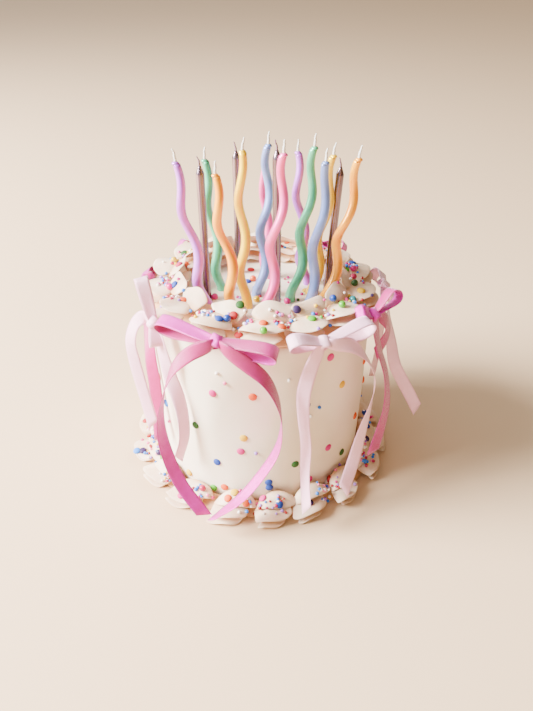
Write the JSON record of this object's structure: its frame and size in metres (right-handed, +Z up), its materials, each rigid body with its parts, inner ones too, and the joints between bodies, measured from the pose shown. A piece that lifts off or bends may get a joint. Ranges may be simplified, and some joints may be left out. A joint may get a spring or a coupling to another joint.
{
  "type": "birthday cake with candles",
  "caption": "Tall round iced birthday cake with piped cream borders, confetti sprinkles, satin ribbon bows and slim wavy and straight candles",
  "frame": {"origin": "centre of the cake's flat base", "axes": "+Z up along the cake's axis, -Y towards the front that the two largest bows face, +X to the right seen from the front"},
  "size_m": [0.2471, 0.2312, 0.2709],
  "materials": {
    "icing": "smooth icing, soft sheen",
    "piped_cream": "piped cream, soft sheen",
    "wax_lilac": "pearl wax",
    "wax_green": "pearl wax",
    "wax_orange": "pearl wax",
    "wax_yellow": "pearl wax",
    "wax_blue": "pearl wax",
    "wax_pink": "pearl wax",
    "rose_metal_wax": "metallic coated wax",
    "wick_cotton": "cotton thread",
    "satin_hot_pink": "satin ribbon",
    "satin_pale_pink": "satin ribbon"
  },
  "bodies": {
    "root": {"cake": "icing", "top_border": "piped_cream", "bottom_border": "piped_cream", "candle_lilac_left": "wax_lilac", "candle_green_left": "wax_green", "candle_orange_left": "wax_orange", "candle_yellow_left": "wax_yellow", "candle_pink_back": "wax_pink", "candle_blue_middle": "wax_blue", "candle_pink_front": "wax_pink", "candle_lilac_right": "wax_lilac", "candle_green_right": "wax_green", "candle_blue_right": "wax_blue", "candle_yellow_right": "wax_yellow", "candle_orange_right": "wax_orange", "candle_metal_left": "rose_metal_wax", "candle_metal_back": "rose_metal_wax", "candle_metal_middle": "rose_metal_wax", "candle_metal_right": "rose_metal_wax", "wick_lilac_left": "wick_cotton", "wick_green_left": "wick_cotton", "wick_orange_left": "wick_cotton", "wick_yellow_left": "wick_cotton", "wick_pink_back": "wick_cotton", "wick_blue_middle": "wick_cotton", "wick_pink_front": "wick_cotton", "wick_lilac_right": "wick_cotton", "wick_green_right": "wick_cotton", "wick_blue_right": "wick_cotton", "wick_yellow_right": "wick_cotton", "wick_orange_right": "wick_cotton", "wick_metal_left": "wick_cotton", "wick_metal_back": "wick_cotton", "wick_metal_middle": "wick_cotton", "wick_metal_right": "wick_cotton", "bow_front_left": "satin_hot_pink", "bow_front_right": "satin_pale_pink", "bow_right": "satin_hot_pink", "bow_right_back": "satin_pale_pink", "bow_back_right": "satin_hot_pink", "bow_back": "satin_pale_pink", "bow_back_left": "satin_hot_pink", "bow_left_back": "satin_hot_pink", "bow_left": "satin_pale_pink"}
  },
  "joints": []
}
